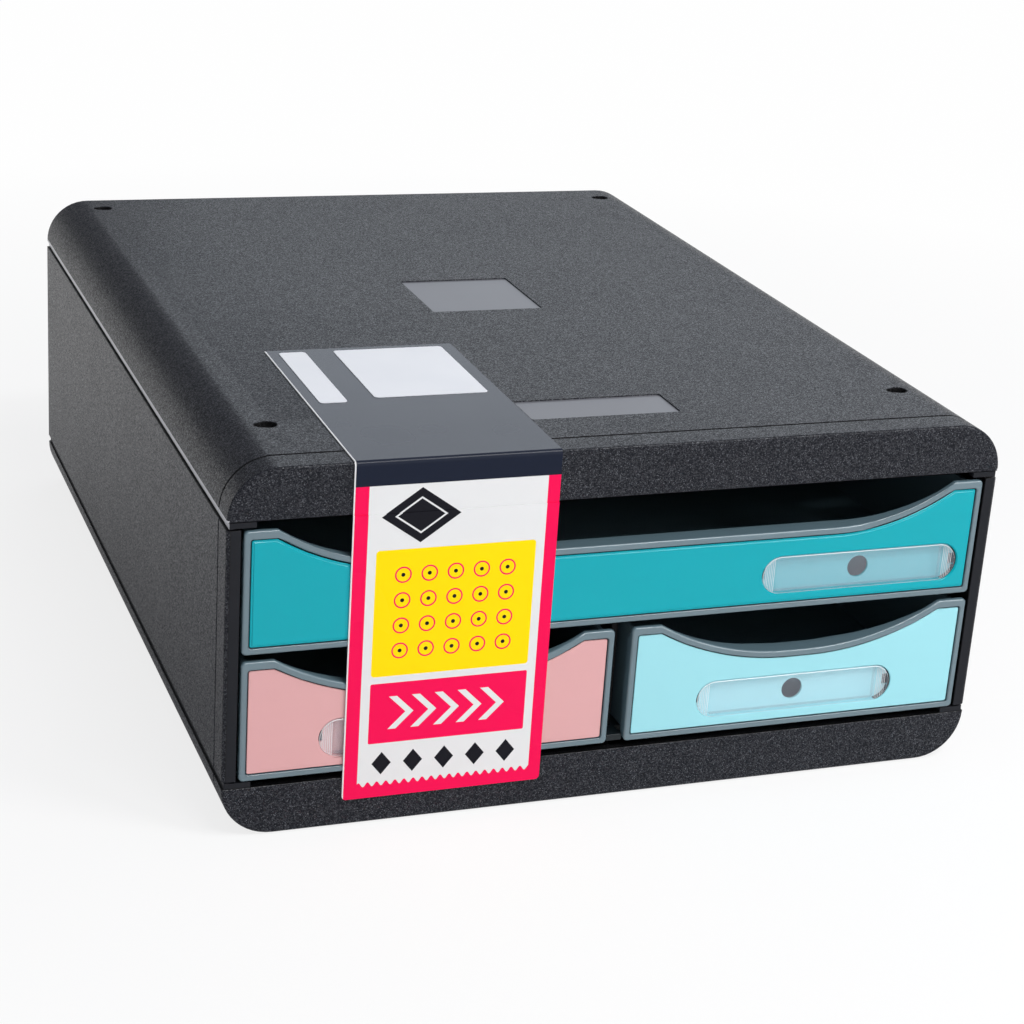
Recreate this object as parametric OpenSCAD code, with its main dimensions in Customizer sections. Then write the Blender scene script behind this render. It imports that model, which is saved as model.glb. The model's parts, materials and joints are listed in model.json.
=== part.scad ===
// Desktop box with one wide drawer over two narrow ones, and a card strip folded over its front.
// Origin: bottom centre. X is the width, the front faces -Y and Z is up. Millimetres.

/* [Casing] */
// Width of the casing
case_w = 278; // [240:1:340]
// Depth of the casing, front face to back face
case_d = 347; // [310:1:400]
// Height of the casing, foot pads included
case_h = 130; // [120:1:170]
// Radius of the four long corners
corner_r = 17.5; // [8:0.5:20]
// Straight skirt between a corner round and the edge of its shell
skirt_h = 0.4; // [0.2:0.1:4]
// Wall of the top and base shells
shell_wall = 2.6; // [2:0.1:4]
// Thickness of the front fascia of each shell
fascia_t = 3; // [2:0.1:5]
// Wall of the side panels
panel_wall = 2.6; // [2:0.1:3.2]
// Thickness of the back panel
back_t = 2.6; // [2:0.1:4]
// Width of the post face at each side of the front
post_w = 4.7; // [4:0.1:8]
// Depth of the posts
post_d = 6; // [4:0.5:12]
// Rounding of the outer front edge of a post
post_r = 1.5; // [0.5:0.1:2.2]

/* [Seams and groove] */
// Open band between a shell's edge and a side panel
seam_h = 2.5; // [1.5:0.1:5]
// Gap left between the lip in the band and the side panel
seam_gap = 0.3; // [0.2:0.1:0.6]
// How far the lip in the band stands back from the outer face
lip_inset = 0.8; // [0.4:0.1:1.2]
// Thickness of the lip
lip_t = 1.6; // [1.2:0.1:2]
// Width of the tab at each end of a fascia
tab_w = 9.7; // [6:0.1:14]
// Height of the tab
tab_h = 1.9; // [1:0.1:1.9]
// How far the tab stands back from the fascia
tab_inset = 0.3; // [0.1:0.1:0.6]
// Distance of the trim groove from the front face
groove_set = 11.6; // [8:0.1:20]
// Width of the trim groove
groove_w = 0.9; // [0.5:0.1:1.5]
// Depth of the trim groove
groove_deep = 0.6; // [0.3:0.1:0.9]

/* [Top face] */
// Distance of the stacking holes from the sides of the casing
hole_side = 21.5; // [20:0.5:60]
// Distance of the front stacking holes from the front face
hole_front = 40.7; // [25:0.1:60]
// Distance of the rear stacking holes from the back face
hole_back = 15; // [12:0.1:40]
// Radius of the large lobe of a stacking hole
lobe_r = 3.1; // [2:0.1:4]
// Radius of the small lobe
small_lobe_r = 2.2; // [1.5:0.1:3]
// Distance between the two lobes
lobe_dx = 2.5; // [1:0.1:4]
// Width of the middle plate recess
mid_plate_w = 44.8; // [20:0.2:70]
// Depth of the middle plate recess, front to back
mid_plate_l = 43.4; // [20:0.2:70]
// Distance of the middle plate's centre from the front face
mid_plate_set = 180.6; // [150:0.2:220]
// How far the middle plate's centre lies right of the casing's middle
mid_plate_x = 2; // [-5:0.1:5]
// Width of the front plate recess
front_plate_w = 54.8; // [20:0.2:60]
// Depth of the front plate recess, front to back
front_plate_l = 19.3; // [8:0.1:30]
// How far the front plate's centre lies right of the casing's middle
front_plate_x = 0.7; // [-5:0.1:5]
// How deep both plate recesses are
plate_deep = 0.5; // [0.2:0.1:0.9]
// Corner radius of both plate recesses
plate_r = 1; // [0.5:0.1:3]

/* [Feet] */
// Radius of a foot pad
foot_r = 6.5; // [4:0.1:9]
// Thickness of a foot pad
foot_t = 1.4; // [1.2:0.1:2.2]
// How far a foot pad stands out below the base
foot_proud = 0.4; // [0.3:0.1:1]
// Gap round a foot pad in its recess
foot_gap = 0.1; // [0.05:0.05:0.3]

/* [Drawer fronts] */
// Gap between the base fascia and the lower fronts
gap_bottom = 2.3; // [2.2:0.1:4]
// Gap between the lower fronts and the upper front
gap_mid = 2.5; // [1.5:0.1:4]
// Gap between the upper front and the top fascia
gap_top = 3; // [2.2:0.1:5]
// Gap between a front and the post beside it
gap_side = 0.9; // [0.5:0.1:1.5]
// Gap between the two lower fronts
gap_centre = 6.4; // [6:0.1:10]
// How far the fronts stand proud of the fascia
rim_proud = 0.3; // [0.3:0.1:1]
// Outer corner radius of a front
rim_r = 1.6; // [0.8:0.1:3]
// Width of the frame round the insert at the sides and bottom
rim_side = 2.2; // [1.5:0.1:4]
// Width of the frame along the flat ends of the top
rim_top = 2.8; // [1.5:0.1:4]
// Width of the frame along the scoop
rim_scoop = 2.3; // [1.5:0.1:4]
// Depth of the frame in front of the wall
rim_d = 1.9; // [1.6:0.1:2.2]
// Corner radius of the recess for the insert
recess_r = 1; // [0.5:0.1:2]
// Thickness of the wall behind the insert
front_wall = 2; // [2:0.1:3]
// Depth of the finger scoop below the top of a front
scoop_drop = 13.9; // [6:0.1:16]
// Flat end of the top edge, from the side to the scoop
scoop_end = 11; // [6:0.1:16]
// Length of the scoop's curve on the wide front
scoop_wide = 45.5; // [30:0.5:60]
// Length of the scoop's curve on a narrow front
scoop_narrow = 50; // [30:0.5:50]
// Depth of the finger lip along the bottom of the scoop
lip_d = 7.2; // [5:0.1:9]
// Depth of the finger lip where the scoop ends
lip_end_d = 1; // [0.5:0.1:1.5]
// Thickness of the finger lip
lip_thick = 2; // [1.2:0.1:2.2]
// Half length of the lip's full depth on a narrow front
lip_run = 15; // [8:0.5:20]

/* [Trays] */
// Wall of the trays
tray_wall = 2; // [1.5:0.1:3]
// Floor of the trays
tray_floor = 2; // [1.5:0.1:3]
// How far a tray's walls stand in from the sides of its front
tray_in = 1.4; // [1:0.1:2]
// Height of a tray's underside above the bottom of its front
tray_lift = 2.8; // [2.6:0.1:4]
// How far a tray's walls end below the top of its front
tray_drop = 2.5; // [2:0.1:6]
// Corner radius inside a tray
tray_r = 3; // [1:0.5:8]
// Gap between a closed tray and the back panel
rear_gap = 0.4; // [0.3:0.1:2]
// How far a drawer slides out before its stops meet
travel = 250; // [100:1:250]

/* [Runners and stops] */
// Gap under and beside a tray on its runners
run_gap = 0.3; // [0.3:0.1:0.5]
// Thickness of a side runner
runner_t = 2.1; // [1.5:0.1:2.2]
// How far a side runner reaches in from the side panel
runner_w = 10.4; // [8:0.1:14]
// Height of the guide rib on a side runner
guide_h = 6; // [3:0.5:10]
// Distance of the runners' front ends from the front face
runner_set = 8; // [6.5:0.5:20]
// Height of the stop bump on a tray
bump_h = 10; // [6:0.5:14]
// Length of the stop bump
bump_l = 4; // [2:0.5:8]
// How far the stop bump stands out from the tray
bump_out = 2.6; // [1:0.1:2.6]
// Distance of the stop bump from the back of the tray
bump_set = 4.5; // [3:0.5:12]
// Distance of the stop bump's top below the top of the tray
bump_down = 4; // [2:0.5:10]
// Thickness of the stop ribs on the casing
stop_t = 3; // [2:0.5:6]
// How far a stop rib reaches past the bump, above and below
stop_over = 2; // [0:0.5:4]
// Gap between bump and rib at full travel
stop_gap = 0.3; // [0.3:0.1:1]
// Thickness of the centre divider
divider_t = 2.4; // [2:0.1:2.6]
// Half width of the divider's top flange and of the centre rail
rail_half = 9; // [7:0.1:14]
// Thickness of the centre rail
rail_t = 2.4; // [1.5:0.1:2.5]
// Distance of the rail's nose from the front face
rail_set = 1; // [0.5:0.1:3]
// Distance of the divider's front edge from the front face
divider_set = 8; // [6.5:0.5:20]

/* [Inserts and label holders] */
// Thickness of an insert
insert_t = 1.5; // [1:0.1:1.5]
// Gap between an insert and its frame
insert_gap = 0.15; // [0.1:0.05:0.3]
// Width of a label holder's window
window_w = 76.6; // [50:0.2:84]
// Height of the window
window_h = 14; // [10:0.1:15]
// Height of the window's centre above the bottom of the front
window_up = 12.7; // [12.5:0.1:14]
// Distance of the wide front's window from its right side, to the window's centre
window_side = 44.7; // [44:0.1:80]
// Depth of the window's pocket
pocket_deep = 2.5; // [1.5:0.1:2.6]
// Wall of the pocket
pocket_wall = 1; // [0.8:0.1:1.2]
// Floor of the pocket
pocket_floor = 0.8; // [0.6:0.1:0.8]
// Radius of the push hole in the pocket
push_r = 4; // [2:0.1:5]
// Height of the slot at each end of the pocket
slot_h = 4.2; // [2:0.1:6]
// Length of each slot
slot_l = 3; // [2:0.1:4]
// Gap round a label holder in its pocket
holder_gap = 0.15; // [0.1:0.05:0.3]
// Gap between a label holder and the floor of its pocket
holder_seat = 0.05; // [0:0.05:0.2]
// How far a label holder stands proud of the insert
holder_proud = 0.25; // [0:0.05:0.3]
// Front skin of a label holder
holder_skin = 0.95; // [0.6:0.05:1.2]
// Length of the label space behind the holder
label_l = 65.2; // [30:0.2:66]
// Height of the label space
label_h = 12; // [6:0.1:12]

/* [Card strip] */
// Width of the strip
strip_w = 70.5; // [40:0.5:90]
// Distance of the strip's left edge from the left side of the casing
strip_set = 40.9; // [30:0.1:44]
// Thickness of the strip
strip_t = 0.4; // [0.3:0.05:0.6]
// Length of the strip on the top face
strip_top_l = 117.3; // [60:0.1:140]
// Height of the strip's lower edge above the ground
strip_low = 10; // [4:0.1:14]
// Slit between the strip's sections
strip_slit = 0.3; // [0.3:0.05:0.8]
// Thickness of the two stickers on the strip
sticker_t = 0.2; // [0.1:0.05:0.3]
// Width of the small sticker
small_sticker_w = 9.8; // [5:0.1:14]
// Length of the small sticker
small_sticker_l = 56.7; // [20:0.1:60]
// Width of the large sticker
large_sticker_w = 41.2; // [20:0.1:46]
// Length of the large sticker
large_sticker_l = 53.8; // [20:0.1:60]
// Margin of the stickers from the strip's rear edge
sticker_margin = 3.3; // [1:0.1:5]
// Margin of the small sticker from the strip's left edge
small_sticker_margin = 4.3; // [1:0.1:6]
// Margin of the large sticker from the strip's right edge
large_sticker_margin = 4.8; // [1:0.1:6]

/* [Hidden] */
$fn = 64;
// Facets of the scoops' long arcs
arc_fn = 256;

// Small overlap that joins two solids
eps = 0.01;
// How far a cut runs past the face that it opens
over = 1;

half_w = case_w / 2;
// The casing sits back by half of what stands in front of its face, so the whole is centred
front_y = -(case_d - rim_proud - strip_t) / 2;
back_y = front_y + case_d;
rim_y = front_y - rim_proud;
wall_y = rim_y + rim_d;
tray_y = wall_y + front_wall;
inner_back_y = back_y - back_t;

shell_h = corner_r + skirt_h;
base_edge_z = foot_proud + shell_h;
top_edge_z = case_h - shell_h;
panel_low_z = base_edge_z + seam_h;
panel_high_z = top_edge_z - seam_h;

rim_h = (top_edge_z - base_edge_z - gap_bottom - gap_mid - gap_top) / 2;
low_z = base_edge_z + gap_bottom;
up_z = low_z + rim_h + gap_mid;
wide_w = case_w - 2 * (post_w + gap_side);
narrow_w = (wide_w - gap_centre) / 2;
narrow_x = (gap_centre + narrow_w) / 2;

tray_back_y = inner_back_y - rear_gap;
tray_low = tray_lift;
tray_high = rim_h - tray_drop;
bump_front_y = tray_back_y - bump_set - bump_l;
stop_back_y = bump_front_y - travel - stop_gap;
bump_z = tray_high - bump_down - bump_h;

lower_runner_z = low_z + tray_lift - run_gap;
upper_runner_z = up_z + tray_lift - run_gap;
guide_x = wide_w / 2 - tray_in + run_gap;
rib_z = lower_runner_z - rail_t;

insert_y = wall_y - insert_t;
window_x = wide_w / 2 - window_side;
holder_y = insert_y - holder_proud;

hole_x = half_w - hole_side;
hole_y = [front_y + hole_front, back_y - hole_back];
strip_x = -half_w + strip_set;
strip_slit_z = up_z - gap_mid / 2;
strip_back_y = front_y + strip_top_l;

casing_colour = [0.24, 0.25, 0.27];
inner_colour = [0.12, 0.12, 0.13];
drawer_colour = [0.42, 0.48, 0.52];
teal = [0.10, 0.62, 0.68];
pink = [0.85, 0.66, 0.66];
aqua = [0.64, 0.88, 0.92];

// ---- shared shapes ----

// Rectangle from the origin with all corners rounded
module rounded_rect(w, h, r) {
  translate([r, 0]) square([w - 2 * r, h]);
  translate([0, r]) square([w, h - 2 * r]);
  for (x = [r, w - r], y = [r, h - r]) translate([x, y]) circle(r);
}

// Rounded bar lying along X, centred on the origin
module pill(w, h) {
  square([w - h, h], center = true);
  for (s = [-1, 1]) translate([s * (w - h) / 2, 0]) circle(h / 2);
}

// Stands a drawing made in X and Z up at depth y, d deep
module stand(y, d) {
  translate([0, y + d, 0]) rotate([90, 0, 0]) linear_extrude(d) children();
}

// ---- casing ----

// Section of a shell: open at the bottom, both upper corners rounded
module shell_section(w, h, r) {
  intersection() {
    translate([-w / 2, 0]) square([w, h]);
    union() {
      translate([-w / 2, -r]) square([w, h]);
      translate([-w / 2 + r, 0]) square([w - 2 * r, h]);
      for (s = [-1, 1]) translate([s * (w / 2 - r), h - r]) circle(r);
    }
  }
}

// A shell standing on its open edge, seen as the top one
module shell() {
  inner_w = case_w - 2 * shell_wall;
  inner_h = shell_h - shell_wall;
  inner_r = corner_r - shell_wall;
  difference() {
    stand(front_y, case_d) shell_section(case_w, shell_h, corner_r);
    translate([0, 0, -eps])
      stand(front_y + fascia_t, case_d - fascia_t - back_t)
        shell_section(inner_w, inner_h + eps, inner_r);
    stand(front_y + groove_set - groove_w / 2, groove_w) difference() {
      translate([-case_w, -over]) square([2 * case_w, shell_h + 2 * over]);
      translate([0, -2 * over])
        shell_section(case_w - 2 * groove_deep, shell_h + 2 * over - groove_deep, corner_r - groove_deep);
    }
  }
  for (s = [0, 1]) mirror([s, 0, 0]) {
    // Lip in the seam band along the side
    translate([half_w - lip_inset - lip_t, front_y + tab_inset, seam_gap - seam_h])
      cube([lip_t, case_d - 2 * tab_inset, seam_h - seam_gap + skirt_h]);
    // Tab at the end of the fascia
    translate([half_w - tab_w, front_y + tab_inset, -tab_h])
      cube([tab_w - lip_inset, fascia_t - tab_inset - eps, tab_h + skirt_h]);
  }
}

// Two overlapping round lobes through a shell's top
module stacking_hole() {
  translate([lobe_dx / 2, 0, -over]) cylinder(r = lobe_r, h = shell_h + 2 * over);
  translate([-lobe_dx / 2, 0, -over]) cylinder(r = small_lobe_r, h = shell_h + 2 * over);
}

// Shallow recess for a plate, centred at x and y
module plate_recess(x, y, w, l) {
  translate([x - w / 2, y - l / 2, shell_h - plate_deep])
    linear_extrude(plate_deep + over) rounded_rect(w, l, plate_r);
}

module top_shell() color(casing_colour) translate([0, 0, top_edge_z]) difference() {
  shell();
  for (x = [-hole_x, hole_x], y = hole_y) translate([x, y, 0]) stacking_hole();
  plate_recess(mid_plate_x, front_y + mid_plate_set, mid_plate_w, mid_plate_l);
  plate_recess(front_plate_x, hole_y[0], front_plate_w, front_plate_l);
}

module base_shell() color(casing_colour) {
  difference() {
    translate([0, 0, base_edge_z]) mirror([0, 0, 1]) shell();
    for (x = [-hole_x, hole_x], y = hole_y)
      translate([x, y, -over]) cylinder(r = foot_r + foot_gap, h = over + foot_t);
  }
  // Rib that carries the centre rail
  rib_y = front_y + divider_set;
  translate([-divider_t / 2, rib_y, foot_proud + shell_wall - eps])
    cube([divider_t, inner_back_y - rib_y + eps, rib_z - foot_proud - shell_wall + eps]);
}

// Runner with a guide rib, on the right side panel, its running face at z
module side_runner(z) {
  y = front_y + runner_set;
  l = inner_back_y - y;
  translate([half_w - panel_wall - runner_w, y, z - runner_t])
    cube([runner_w + eps, l, runner_t]);
  translate([guide_x, y, z - eps]) cube([half_w - panel_wall - guide_x + eps, l, guide_h]);
}

// Rib on the right side panel that stops a tray's bump, for a front whose bottom is at z
module side_stop(z) {
  translate([guide_x, stop_back_y - stop_t, z + bump_z - stop_over])
    cube([half_w - panel_wall - guide_x + eps, stop_t, bump_h + 2 * stop_over]);
}

module side_panel() {
  translate([0, 0, panel_low_z]) linear_extrude(panel_high_z - panel_low_z) difference() {
    union() {
      translate([half_w - panel_wall, front_y + post_r]) square([panel_wall, case_d - post_r]);
      translate([half_w - post_w, front_y]) square([post_w - post_r, post_d]);
      translate([half_w - post_w, front_y + post_r]) square([post_w, post_d - post_r]);
      translate([half_w - post_r, front_y + post_r]) circle(post_r);
    }
    translate([half_w - groove_deep, front_y + groove_set - groove_w / 2])
      square([groove_deep + over, groove_w]);
  }
  side_runner(lower_runner_z);
  side_runner(upper_runner_z);
  side_stop(low_z);
  side_stop(up_z);
}

module side_panel_right() color(casing_colour) side_panel();
module side_panel_left() color(casing_colour) mirror([1, 0, 0]) side_panel();

module back_panel() color(casing_colour) {
  w = case_w - 2 * panel_wall;
  translate([-w / 2, inner_back_y, base_edge_z]) cube([w, back_t, top_edge_z - base_edge_z]);
}

// Wall between the lower drawers, with a top flange that carries the upper tray
module centre_divider() color(inner_colour) {
  y = front_y + divider_set;
  l = inner_back_y - y;
  translate([-divider_t / 2, y, lower_runner_z])
    cube([divider_t, l, upper_runner_z - lower_runner_z]);
  translate([-rail_half, y, upper_runner_z - runner_t]) cube([2 * rail_half, l, runner_t]);
  stop_half = gap_centre / 2 + tray_in - run_gap;
  translate([-stop_half, stop_back_y - stop_t, low_z + bump_z - stop_over])
    cube([2 * stop_half, stop_t, bump_h + 2 * stop_over]);
}

// Bar on the base's rib that carries the inner edges of both lower trays
module centre_rail() color(drawer_colour) {
  nose_half = gap_centre / 2 - run_gap;
  nose_y = front_y + rail_set;
  wide_y = front_y + runner_set;
  translate([-nose_half, nose_y, rib_z]) cube([2 * nose_half, wide_y - nose_y + eps, rail_t]);
  translate([-rail_half, wide_y, rib_z]) cube([2 * rail_half, inner_back_y - wide_y, rail_t]);
}

module foot(x, y) color([0.1, 0.1, 0.1]) translate([x, y, 0]) cylinder(r = foot_r, h = foot_t);
module foot_front_left() foot(-hole_x, hole_y[0]);
module foot_front_right() foot(hole_x, hole_y[0]);
module foot_rear_left() foot(-hole_x, hole_y[1]);
module foot_rear_right() foot(hole_x, hole_y[1]);

// ---- drawers: X from the middle of the front, Z from its bottom ----

function scoop_len(wide) = wide ? scoop_wide : scoop_narrow;
function scoop_flat(w, wide) = w / 2 - scoop_end - scoop_len(wide);
function scoop_r(wide) = (pow(scoop_len(wide), 2) + pow(scoop_drop, 2)) / (2 * scoop_drop);

// Finger scoop to cut from the top of a front, grown by g: two arcs and a straight run
module scoop(w, wide, g) {
  r = scoop_r(wide);
  flat = scoop_flat(w, wide);
  for (s = [-1, 1]) translate([s * flat, rim_h - scoop_drop + r]) circle(r + g, $fn = arc_fn);
  translate([-flat, rim_h - scoop_drop - g]) square([2 * flat, scoop_drop + g + over]);
}

// Outline of a front, taken in at the sides and bottom, at the top and along the scoop
module front_outline(w, wide, side, top, along, r) {
  difference() {
    translate([-w / 2 + side, side]) rounded_rect(w - 2 * side, rim_h - side - top, r);
    scoop(w, wide, along);
  }
}

// Band under the scoop, with a plan that narrows from its middle to both ends
module finger_lip(w, wide) {
  flat = scoop_flat(w, wide);
  run = max(flat, lip_run);
  end = w / 2 - scoop_end;
  intersection() {
    stand(rim_y, lip_d) difference() {
      front_outline(w, wide, 0, 0, 0, rim_r);
      front_outline(w, wide, 0, 0, lip_thick, rim_r);
    }
    translate([0, rim_y]) linear_extrude(rim_h)
      polygon([[-end, 0], [end, 0], [end, lip_end_d], [run, lip_d], [-run, lip_d], [-end, lip_end_d]]);
  }
}

// One drawer moulding: frame, wall, finger lip, open tray and stop bumps
module tray(w, wide, window_at) {
  tray_w = w - 2 * tray_in;
  stand(rim_y, rim_d + eps) difference() {
    front_outline(w, wide, 0, 0, 0, rim_r);
    front_outline(w, wide, rim_side, rim_top, rim_scoop, recess_r);
  }
  difference() {
    stand(wall_y, front_wall + eps) front_outline(w, wide, 0, rim_top, lip_thick, rim_r);
    translate([window_at, 0, window_up]) stand(wall_y - over, front_wall + 2 * over)
      pill(window_w + 2 * pocket_wall + 2 * insert_gap, window_h + 2 * pocket_wall + 2 * insert_gap);
  }
  finger_lip(w, wide);
  difference() {
    translate([-tray_w / 2, tray_y, tray_low]) linear_extrude(tray_high - tray_low)
      square([tray_w, tray_back_y - tray_y]);
    translate([-tray_w / 2 + tray_wall, tray_y - tray_r, tray_low + tray_floor])
      linear_extrude(rim_h)
        rounded_rect(tray_w - 2 * tray_wall, tray_back_y - tray_wall - tray_y + tray_r, tray_r);
  }
  for (s = [0, 1]) mirror([s, 0, 0])
    translate([tray_w / 2 - eps, bump_front_y, bump_z]) cube([bump_out + eps, bump_l, bump_h]);
}

// Coloured plate in the frame, with a pocket for the label holder
module insert(w, wide, window_at) {
  g = insert_gap;
  out_w = window_w + 2 * pocket_wall;
  out_h = window_h + 2 * pocket_wall;
  difference() {
    union() {
      stand(insert_y, insert_t)
        front_outline(w, wide, rim_side + g, rim_top + g, rim_scoop + g, recess_r);
      translate([window_at, 0, window_up])
        stand(insert_y, pocket_deep + pocket_floor) pill(out_w, out_h);
    }
    translate([window_at, 0, window_up]) {
      stand(insert_y - over, pocket_deep + over) pill(window_w, window_h);
      stand(insert_y, 2 * pocket_deep) circle(push_r);
      for (s = [-1, 1]) translate([s * out_w / 2, 0, 0])
        stand(insert_y + insert_t + eps, 2 * pocket_deep) square([2 * slot_l, slot_h], center = true);
    }
  }
}

// Clear cover of a label, hollow behind
module label_holder(window_at) {
  d = pocket_deep + holder_proud - holder_seat;
  translate([window_at, 0, window_up]) difference() {
    stand(holder_y, d) pill(window_w - 2 * holder_gap, window_h - 2 * holder_gap);
    stand(holder_y + holder_skin, d) square([label_l, label_h], center = true);
  }
}

module upper_tray() color(drawer_colour)
  translate([0, 0, up_z]) tray(wide_w, true, window_x);
module upper_insert() color(teal) translate([0, 0, up_z]) insert(wide_w, true, window_x);
module upper_label_holder() color([0.8, 0.9, 0.92, 0.5])
  translate([0, 0, up_z]) label_holder(window_x);

module lower_left_tray() color(drawer_colour)
  translate([-narrow_x, 0, low_z]) tray(narrow_w, false, 0);
module lower_left_insert() color(pink) translate([-narrow_x, 0, low_z]) insert(narrow_w, false, 0);
module lower_left_label_holder() color([0.9, 0.88, 0.88, 0.5])
  translate([-narrow_x, 0, low_z]) label_holder(0);

module lower_right_tray() color(drawer_colour)
  translate([narrow_x, 0, low_z]) tray(narrow_w, false, 0);
module lower_right_insert() color(aqua) translate([narrow_x, 0, low_z]) insert(narrow_w, false, 0);
module lower_right_label_holder() color([0.85, 0.92, 0.94, 0.5])
  translate([narrow_x, 0, low_z]) label_holder(0);

// ---- card strip, slit where the drawers part ----

// Folded section on the top face and the fascia
module strip_top() color([0.22, 0.23, 0.25]) {
  translate([strip_x, front_y - strip_t, case_h]) cube([strip_w, strip_top_l + strip_t, strip_t]);
  translate([strip_x, front_y - strip_t, top_edge_z])
    cube([strip_w, strip_t, shell_h + eps]);
}

// Section in front of the upper drawer
module strip_upper() color([0.85, 0.1, 0.2]) {
  translate([strip_x, rim_y - strip_t, strip_slit_z + strip_slit / 2])
    cube([strip_w, strip_t, top_edge_z - strip_slit - strip_slit_z - strip_slit / 2]);
}

// Section in front of the lower left drawer, which hangs down over the base fascia
module strip_lower() color([0.95, 0.85, 0.1])
  translate([strip_x, rim_y - strip_t, strip_low])
    cube([strip_w, strip_t, strip_slit_z - strip_slit / 2 - strip_low]);

module sticker(x, w, l) color("white")
  translate([x, strip_back_y - sticker_margin - l, case_h + strip_t]) cube([w, l, sticker_t]);
module small_sticker()
  sticker(strip_x + small_sticker_margin, small_sticker_w, small_sticker_l);
module large_sticker()
  sticker(strip_x + strip_w - large_sticker_margin - large_sticker_w, large_sticker_w, large_sticker_l);

top_shell();
base_shell();
side_panel_left();
side_panel_right();
back_panel();
centre_divider();
centre_rail();
foot_front_left();
foot_front_right();
foot_rear_left();
foot_rear_right();
upper_tray();
upper_insert();
upper_label_holder();
lower_left_tray();
lower_left_insert();
lower_left_label_holder();
lower_right_tray();
lower_right_insert();
lower_right_label_holder();
strip_top();
strip_upper();
strip_lower();
small_sticker();
large_sticker();
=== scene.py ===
import json
import math

import bmesh
import bpy
from mathutils import Matrix, Vector
from mathutils.bvhtree import BVHTree

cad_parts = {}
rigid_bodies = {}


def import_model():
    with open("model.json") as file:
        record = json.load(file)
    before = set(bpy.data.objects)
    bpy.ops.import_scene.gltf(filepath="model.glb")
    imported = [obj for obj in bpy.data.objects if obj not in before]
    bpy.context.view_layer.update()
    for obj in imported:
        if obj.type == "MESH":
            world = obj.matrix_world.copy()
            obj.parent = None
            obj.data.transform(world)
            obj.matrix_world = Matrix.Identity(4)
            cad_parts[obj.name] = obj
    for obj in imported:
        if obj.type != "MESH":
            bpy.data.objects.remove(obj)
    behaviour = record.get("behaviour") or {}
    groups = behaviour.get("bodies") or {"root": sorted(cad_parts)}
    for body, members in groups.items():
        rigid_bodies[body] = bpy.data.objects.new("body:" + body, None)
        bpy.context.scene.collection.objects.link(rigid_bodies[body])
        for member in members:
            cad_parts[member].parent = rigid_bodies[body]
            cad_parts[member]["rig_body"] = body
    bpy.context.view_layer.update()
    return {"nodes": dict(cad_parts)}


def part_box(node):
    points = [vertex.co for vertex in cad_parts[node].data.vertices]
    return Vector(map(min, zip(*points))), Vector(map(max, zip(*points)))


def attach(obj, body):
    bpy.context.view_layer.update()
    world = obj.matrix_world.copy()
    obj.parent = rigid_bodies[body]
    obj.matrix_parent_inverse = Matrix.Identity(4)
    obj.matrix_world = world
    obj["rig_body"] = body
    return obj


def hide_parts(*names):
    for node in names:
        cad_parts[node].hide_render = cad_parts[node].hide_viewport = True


# Desk drawer box, dressed for rendering. Metres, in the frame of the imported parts.
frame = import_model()
mm = 0.001
perMetre = 1000.0  # millimetres in a metre, for patterns that are drawn in millimetres
touching = 0.02 * mm  # two places closer than this count as the same place
merging = 0.001 * mm  # two points closer than this become one
facing = 0.9  # a face counts as facing a way when its normal reaches this far along it
mostly = 0.5  # the same for a face that only leans that way

caseLow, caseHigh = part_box("top_shell")[0].copy(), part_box("top_shell")[1].copy()
caseLow.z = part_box("base_shell")[0].z
print("frame loaded:", len(frame["nodes"]), "nodes")


def addNode(tree, kind, settings=None, inputs=None):
    node = tree.nodes.new(kind)
    for key, value in (settings or {}).items():
        setattr(node, key, value)
    for key, value in (inputs or {}).items():
        if isinstance(value, bpy.types.NodeSocket):
            tree.links.new(value, node.inputs[key])
        else:
            node.inputs[key].default_value = value
    return node


class Field:  # a number that changes over the surface, worked out by Math nodes
    def __init__(self, tree, socket):
        self.tree = tree
        self.socket = socket

    def calc(self, operation, *others):
        values = [self] + list(others)
        node = self.tree.nodes.new("ShaderNodeMath")
        node.operation = operation
        for place, value in enumerate(values):
            if isinstance(value, Field):
                self.tree.links.new(value.socket, node.inputs[place])
            else:
                node.inputs[place].default_value = value
        return Field(self.tree, node.outputs[0])

    def __add__(self, other):
        return self.calc("ADD", other)

    def __sub__(self, other):
        return self.calc("SUBTRACT", other)

    def __mul__(self, other):
        return self.calc("MULTIPLY", other)

    def __truediv__(self, other):
        return self.calc("DIVIDE", other)

    def __abs__(self):
        return self.calc("ABSOLUTE")

    def minus(self):
        return self.calc("MULTIPLY", -1.0)

    def most(self, other):
        return self.calc("MAXIMUM", other)

    def least(self, other):
        return self.calc("MINIMUM", other)

    def root(self):
        return self.calc("SQRT")

    def repeat(self, step):  # saw from minus half a step to plus half a step
        return (self / step + 0.5).calc("FRACT").swing(step)

    def clamped(self):
        return self.most(0.0).least(1.0)

    def swing(self, amount):  # a value from 0 to 1 made to swing about zero
        return (self - 0.5) * amount

    def contrast(self, amount):
        return self.swing(amount) + 0.5

    def inside(self, blur):  # 1 where the distance is below zero, 0 where it is above
        return (self / -blur + 0.5).clamped()


def blendColour(tree, share, first, second):
    node = tree.nodes.new("ShaderNodeMix")
    node.data_type = "RGBA"
    tree.links.new(share.socket if isinstance(share, Field) else share, node.inputs[0])
    for place, value in ((6, first), (7, second)):
        if isinstance(value, bpy.types.NodeSocket):
            tree.links.new(value, node.inputs[place])
        else:
            node.inputs[place].default_value = (*value[:3], 1.0)
    return node.outputs[2]


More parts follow.
